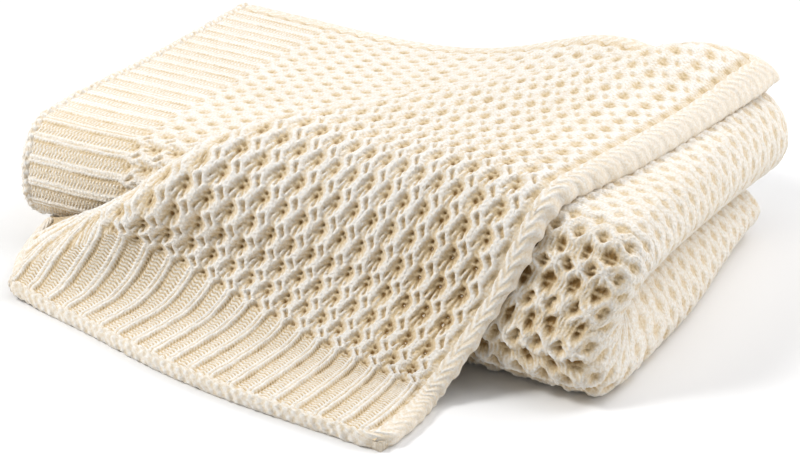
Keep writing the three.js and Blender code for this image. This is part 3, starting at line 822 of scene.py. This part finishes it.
t = np.linspace(SKIN_IN, ACROSS[4], END_COLUMNS)
to_end = np.linspace(0, 1, BARE_ROWS)[:-1, None]
round_end = np.linspace(0, 1, LOBE_ROWS)[:, None]
s = np.concatenate([
    lerp(bare_start(t), RUN_LENGTH, to_end),
    lerp(RUN_LENGTH, END_STOP, round_end) + 0 * t,
])
r = t / OUTER_RIB + 0 * s
taut = np.maximum(ramp(s, (RUN_LENGTH, RUN_LENGTH + 26)), 1 - ramp(t, (TOP_RUN + 5, TOP_RUN + 40)))
height, shade = outer_knit(r, s, taut)
index = np.arange(s.size).reshape(s.shape)
add_piece("closed_end", bundle_point(t, s, FACE + height), grid_faces(index), np.stack([r, s], -1), shade,
          knit_wool)

# %% Hairpins at the back
PIN_ROWS, PIN_COLUMNS, PIN_SINK = 400, 34, 3.5
t = np.linspace(ACROSS[3] - 3, ACROSS[4] + 3, PIN_COLUMNS)


def hairpin(name, first, final):
    """Knit round the tight fold at the back, fading into the ground cloth at both ends."""
    s = np.linspace(first, final, PIN_ROWS)[:, None] + 0 * t
    r = t / OUTER_RIB + 0 * s
    fade = ramp(s, (first, first + 5)) * (1 - ramp(s, (final - 5, final)))
    height, shade = outer_knit(r, s, 1.0)
    faces = grid_faces(np.arange(s.size).reshape(s.shape))
    points = bundle_point(t, s, FACE + lerp(-PIN_SINK, height, fade))
    add_piece(name, points, faces, np.stack([r, s], -1), shade, knit_wool)


hairpin("lower_hairpin", 0.0, RUN_LENGTH)
hairpin("upper_hairpin", RUN_LENGTH + END_TURN, WHOLE_RUN)

# %% [markdown]
# ## The cloth under the knit
# One closed sheet carries every fold, seen or hidden, as the solid does. Where a skin lies over it, it is
# sunk a little so that the deepest hole stays clear of it. Elsewhere it has the cloth's full thickness.

# %% Places of the ground cloth
SUNK = 1.2
CORNER_ROWS, FOLD_STEPS = 56, 12
corner_share = np.linspace(EDGE_IN / EDGE_LENGTH, LAST_CREST, 66)
corner_t = crest_across(corner_share)
rest_t = np.concatenate([
    np.linspace(ACROSS[2] - 12, ACROSS[2], 5)[1:],
    np.linspace(ACROSS[2], ACROSS[3], 20)[1:],
    np.linspace(ACROSS[3], ACROSS[4], 13)[1:],
    np.linspace(ACROSS[4], ACROSS[5], 20)[1:],
    np.linspace(ACROSS[5], ACROSS[6], 40)[1:],
    np.linspace(ACROSS[6], ACROSS[7] - EDGE_IN, 52)[1:],
])
ground_t = np.concatenate([corner_t, rest_t[rest_t > corner_t[-1] + 1]])
in_corner = len(corner_t)
start_s = np.full(len(ground_t), EDGE_IN)
start_s[:in_corner] = under_crest(corner_share)[0] - LEFT
drawn_in = start_s[in_corner - 1] - EDGE_IN


def open_end(t):
    """Distance by which the fold beside it draws the open end in, fading out across the wales."""
    return drawn_in * (1 - ramp(t, (corner_t[-1], corner_t[-1] + 40)))


start_s[in_corner:] = EDGE_IN + open_end(ground_t[in_corner:])
ground_s = np.concatenate([
    lerp(start_s, RUN_LENGTH, np.linspace(0, 1, 44)[:, None]),
    RUN_LENGTH + END_TURN * np.linspace(0, 1, 19)[1:, None] + 0 * start_s,
    lerp(RUN_LENGTH + END_TURN, WHOLE_RUN - EDGE_IN, np.linspace(0, 1, 36)[1:, None]) + 0 * start_s,
])
over_t = ground_t + 0 * ground_s
at_end = (ground_s > bare_start(over_t) + 10) & (ground_s < END_STOP - 4) & (over_t < ACROSS[4])
at_hairpin = (over_t > ACROSS[3]) & (over_t < ACROSS[4])
bared = (over_t > ROLL_FROM) & (ground_s < bared_length(over_t) - 8)
outer_lift = np.where(at_end | at_hairpin, SUNK, FACE)
inner_lift = np.where(bared, SUNK, FACE)
print("ground cloth grid:", ground_s.shape, "with", in_corner, "columns in the corner")


# %% Ground cloth
def ground_face(corner_lift, bundle_lift):
    """One face of the sheet: corner, fold and bundle rows, with empty places where no corner is."""
    corner_v = lerp(EDGE_IN, crest_reach(corner_share), np.linspace(0, 1, CORNER_ROWS)[:, None])
    round_fold = np.linspace(0, 1, FOLD_STEPS)[1:-1, None]
    fold_v = crest_reach(corner_share) + fold_length(corner_share) * round_fold
    front = outer_wale(corner_share * EDGE_LENGTH, np.concatenate([corner_v, fold_v]), corner_lift)
    empty = np.zeros((len(front), len(ground_t) - in_corner, 3))
    return np.concatenate([np.concatenate([front, empty], 1), bundle_point(over_t, ground_s, bundle_lift)])


outer_face, inner_face = ground_face(FACE, outer_lift), ground_face(-SUNK, -inner_lift)
number = np.arange(outer_face[..., 0].size).reshape(outer_face.shape[:2])
front_rows = len(number) - len(ground_s)
sheet = np.concatenate([grid_faces(number[:front_rows + 1, :in_corner]), grid_faces(number[front_rows:])])
sides = np.concatenate([sheet[:, [0, 1]], sheet[:, [1, 2]], sheet[:, [2, 0]]])
rim = sides[~np.isin(sides @ [number.size, 1], sides @ [1, number.size])]
below = rim + number.size
walls = np.concatenate([np.stack([rim[:, 1], rim[:, 0], below[:, 0]], -1),
                        np.stack([rim[:, 1], below[:, 0], below[:, 1]], -1)])
ground_uv = np.stack(np.broadcast_arrays(ground_t / RIB_WIDTH, np.arange(len(number))[:, None] * 9.0), -1)
# The ground cloth has a light painted shade, deeper and warmer near the far end of the diagonal fold, in
# the hollow under the fold
ground_shade = 0.2 + 0.25 * bell(ground_t, corner_t[-1], 25) + np.zeros(number.shape)
ground = add_piece("ground_cloth", np.stack([outer_face, inner_face]),
                   np.concatenate([sheet, sheet[:, ::-1] + number.size, walls]),
                   np.stack([ground_uv, ground_uv]), np.stack([ground_shade, ground_shade]), knit_wool)

# %% [markdown]
# ## Rolled edges
# A cast-off edge is a row of stitches pulled over one another, so it looks like a thin rope of small knobs.
# A selvedge is a flatter chain of V-shaped stitches. Both are tubes: a ring carried along the edge by the
# same functions that fold the cloth, its radius swelling once for each stitch.

# %% Sizes of the edges
KNOB, CHAIN = 6.0, CELL / 2
KNOB_IN, CHAIN_IN, ROUNDING = 3.0, 7.2, 14.0
CHAIN_WIDE, CHAIN_HIGH = 7.8, 5.1
TUBE_STEP, RING_STEP, TIP = 1.5, 1.8, 6
FLAT = 0.7
SCALLOP, DEEPER = 25, 1.1
# Width and height in mm, swell of the stitches and slant of the outer side
knob, open_knob = (3.9, 5.7, 0.13, 0.0), (4.8, 6.2, 0.17, 0.0)
plain = (4.2, 5.0, 0.01, 0.0)
chain = (CHAIN_WIDE, CHAIN_HIGH, 0.015, 0.0)
slant_chain, loose_chain = (5.2, CHAIN_HIGH, 0.015, 0.8), (5.4, CHAIN_HIGH, 0.05, 0.35)


def evenly(path, step):
    """Places at even steps along a line of corner points, and their distances."""
    path = np.asarray(path, float)
    reached = np.concatenate([[0], np.cumsum(np.hypot(*np.diff(path[:, :2], axis=0).T))])
    along = np.linspace(0, reached[-1], round(reached[-1] / step))
    return np.stack([np.interp(along, reached, path[:, k]) for k in range(path.shape[1])], -1), along


def squared(value, power):
    """A value with its size raised to a power and its sign kept; below 1 this flattens a ring's sides."""
    return np.sign(value) * np.abs(value) ** power


turn = np.linspace(0, 2 * np.pi, 2001)
ring_wide = CHAIN_WIDE * squared(np.cos(turn), FLAT)
ring_high = CHAIN_HIGH * squared(np.sin(turn), FLAT)
RING = evenly(np.stack([ring_wide, ring_high, turn], -1), RING_STEP)[0][:-1, 2]
print("points round a tube:", len(RING))


# %% Tube along a free edge
def edge_tube(name, carry, path, stitch):
    """A closed tube. Each point of its path has a place on the cloth, a width, a height, a swell and a
    slant. A chain has V-shaped stitches, a cosine of the distance along plus the distance from its middle
    line, and a scalloped outer side; with a slant that side leans outwards and the underside is deeper. A
    cast-off row has knobs, a cosine both along and round it."""
    places, along = evenly(path, TUBE_STEP)
    tangent = np.gradient(places[:, :2], axis=0)
    tangent = tangent / np.hypot(*tangent.T)[:, None]
    along = along[:, None]
    high, swell, slant = places[:, 3:4], places[:, 4:5], places[:, 5:6]
    knobby = ramp(swell, (0.05, 0.12))
    square = lerp(FLAT, 1.0, knobby)
    across = squared(np.cos(RING), square)
    chained = np.cos(2 * np.pi * (along / CHAIN + np.abs(across)))
    knobbed = np.cos(2 * np.pi * along / stitch) * np.cos(3 * RING + 0.7)
    wave = lerp(chained, knobbed, knobby)
    uneven = (0.03 + 1.8 * swell) * (rough(along / 3.4, np.cos(RING) * 3) - 0.5)
    tip = np.sqrt(np.clip(np.minimum(along, along[-1] - along) / TIP, 0, 1))
    ring = (1 + swell * wave + uneven) * tip
    scallop = SCALLOP * swell * np.cos(2 * np.pi * along / CELL) * np.minimum(across, 0) * (1 - knobby)
    lift = high * ring * squared(np.sin(RING), square)
    lift = lift + DEEPER * slant * np.maximum(lift, 0)
    slanted = slant * np.maximum(lift + high, 0) * np.minimum(across, 0)
    out = places[:, 2:3] * ring * across + scallop + slanted
    points = carry(places[:, :1] - tangent[:, 1:] * out, places[:, 1:2] + tangent[:, :1] * out, lift)
    index = np.arange(ring.size).reshape(ring.shape)
    index[0], index[-1] = index[0, 0], index[-1, 0]
    faces = grid_faces(np.concatenate([index, index[:, :1]], 1))
    a, b, c = (points.reshape(-1, 3)[faces[:, k]] for k in range(3))
    inward = np.einsum("ij,ij->", a, np.cross(b, c)) < 0
    faces = faces[:, ::-1] if inward else faces
    stitched = (along / CHAIN + np.abs(across)) * COURSE
    uv = np.stack(np.broadcast_arrays(RING / np.pi / 3, stitched), -1)
    # Painted shade on the tube: darker in the dents between stitches and knobs, lighter on their swells
    add_piece(name, points, faces, uv, 0.13 - lerp(2.4, 1.1, knobby) * swell * wave, edge_wool)


# %% Edges of the turned-down corner
FAR_COURSE = LAST_CREST * EDGE_LENGTH
FAR_V = float(crest_reach(LAST_CREST) + fold_length(LAST_CREST))
first_share = CHAIN_IN / EDGE_LENGTH
outer_end = float(crest_reach(first_share) + fold_length(first_share) + WHOLE_RUN + LEFT)
outer_end = outer_end - float(under_crest(np.array(first_share))[0])
bend = np.linspace(0, np.pi / 2, 9)
turned = [lerp(first, second, bend / bend[-1]) for first, second in zip(chain, knob)]
rounded = np.stack([CHAIN_IN + ROUNDING * (1 - np.cos(bend)), KNOB_IN + ROUNDING * (1 - np.sin(bend)),
                    *turned], -1)
corner_path = [
    (CHAIN_IN, outer_end, *chain),
    (CHAIN_IN, 1.1 * SIDE_LENGTH, *chain),
    (CHAIN_IN, 0.95 * SIDE_LENGTH, *slant_chain),
    (CHAIN_IN, 0.6 * SIDE_LENGTH, *slant_chain),
    (CHAIN_IN, 0.4 * SIDE_LENGTH, *loose_chain),
    *rounded,
    (FAR_COURSE, KNOB_IN, *knob),
]
edge_tube("corner_rolled_edge", outer_wale, corner_path, (KNOB + CHAIN) / 2)
far_path = [(FAR_COURSE, 1.0, *plain), (FAR_COURSE, FAR_V, *plain)]
edge_tube("corner_far_edge", outer_wale, far_path, KNOB)

# %% Edges of the bundle
open_t = np.concatenate([corner_t[-1] + np.linspace(3, 45, 15), [ACROSS[-1]]])
open_sizes = [0 * open_t + size for size in open_knob]
open_path = np.stack([open_t, KNOB_IN + open_end(open_t), *open_sizes], -1)
edge_tube("open_end_cast_off", bundle_point, open_path, KNOB)
far_end_path = [(1.0, WHOLE_RUN - KNOB_IN, *knob), (ACROSS[-1], WHOLE_RUN - KNOB_IN, *knob)]
edge_tube("far_end_cast_off", bundle_point, far_end_path, KNOB)
inner_path = [(ACROSS[-1] - CHAIN_IN, 1.0, *chain), (ACROSS[-1] - CHAIN_IN, WHOLE_RUN, *chain)]
edge_tube("inner_selvedge", bundle_point, inner_path, CHAIN)

# %% [markdown]
# ## What rides on what
# The throw has no joints, so every piece rides on the one body. The ground cloth stands for the solid. The
# skins and rolled edges belong to it.

for piece in pieces:
    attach(piece, "root")
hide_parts("knitted_throw")
print("triangles in all:", sum(len(piece.data.polygons) for piece in pieces))

# %% [markdown]
# ## Floor, light and camera
# A white product picture has soft light from several sides. Here a key light at the front left draws the
# knit's relief, a window light behind brightens the top, and three weaker ones open the shadows. The camera
# looks down at 26.5 degrees from the right of the front with a long lens, as in the photograph.

# %% Floor
FLOOR_HALF = 6
FLOOR_PAINT, FLOOR_ROUGHNESS = (0.86, 0.86, 0.86, 1), 0.9
floor_corners = [(x * FLOOR_HALF, y * FLOOR_HALF, 0) for x, y in ((-1, -1), (1, -1), (1, 1), (-1, 1))]
floor_mesh = bpy.data.meshes.new("floor")
floor_mesh.from_pydata(floor_corners, [], [(0, 1, 2, 3)])
floor = bpy.data.objects.new("floor", floor_mesh)
bpy.context.scene.collection.objects.link(floor)
floor_paint = bpy.data.materials.new("pale_floor")
floor_paint.use_nodes = True
floor_shader = floor_paint.node_tree.nodes["Principled BSDF"]
floor_shader.inputs["Base Color"].default_value = FLOOR_PAINT
floor_shader.inputs["Roughness"].default_value = FLOOR_ROUGHNESS
floor_mesh.materials.append(floor_paint)

# %% Light
LIGHT_AIM = np.array([0.0, 0.0, 0.05])
WORLD_STRENGTH = 0.31


def soft_light(name, place, size, watts, colour):
    """A square area light at a place, turned towards the throw."""
    lamp = bpy.data.lights.new(name, "AREA")
    lamp.size, lamp.energy, lamp.color = size, watts, colour
    light = bpy.data.objects.new(name, lamp)
    bpy.context.scene.collection.objects.link(light)
    light.location = place
    way = LIGHT_AIM - np.asarray(place, float)
    flat = math.hypot(way[0], way[1])
    light.rotation_euler = (math.atan2(flat, -way[2]), 0.0, math.atan2(way[1], way[0]) - math.pi / 2)


soft_light("key_light", (-1.0, -0.7, 1.35), 0.5, 22, (1, 1, 1))
soft_light("window_light", (0.8, 1.0, 1.4), 1.2, 20, (0.94, 0.955, 1))
soft_light("top_light", (0.1, 0.2, 2.0), 1.0, 5, (1, 1, 1))
soft_light("low_light", (-1.7, -1.0, 0.4), 1.0, 3, (1, 0.96, 0.9))
soft_light("end_light", (1.9, 0.5, 0.7), 1.0, 10.3, (1, 0.945, 0.86))
world = bpy.data.worlds.new("studio")
bpy.context.scene.world = world
world.use_nodes = True
sky = world.node_tree.nodes["Background"]
sky.inputs["Color"].default_value = (1, 1, 1, 1)
sky.inputs["Strength"].default_value = WORLD_STRENGTH
bpy.context.scene.view_settings.view_transform = "Standard"
print("lights:", len(bpy.data.lights))

# %% Camera
AZIMUTH, ELEVATION = math.radians(29.5), math.radians(26.5)
AIM = (np.array([0.0, 0.0, 42.0]) + FRAME_SHIFT) / 1000
DISTANCE, FOCAL_PIXELS, PICTURE_WIDTH, SENSOR = 1.7007, 2300.0, 800.0, 36.0
backward = np.array([math.sin(AZIMUTH) * math.cos(ELEVATION), -math.cos(AZIMUTH) * math.cos(ELEVATION),
                     math.sin(ELEVATION)])
camera_data = bpy.data.cameras.new("camera")
camera_data.sensor_fit, camera_data.sensor_width = "HORIZONTAL", SENSOR
camera_data.lens = FOCAL_PIXELS * SENSOR / PICTURE_WIDTH
camera = bpy.data.objects.new("camera", camera_data)
bpy.context.scene.collection.objects.link(camera)
camera.location = AIM + backward * DISTANCE
camera.rotation_euler = (math.pi / 2 - ELEVATION, 0.0, AZIMUTH)
bpy.context.scene.camera = camera
print("lens in mm:", round(camera_data.lens, 1))

# %% Finish
bpy.context.view_layer.update()
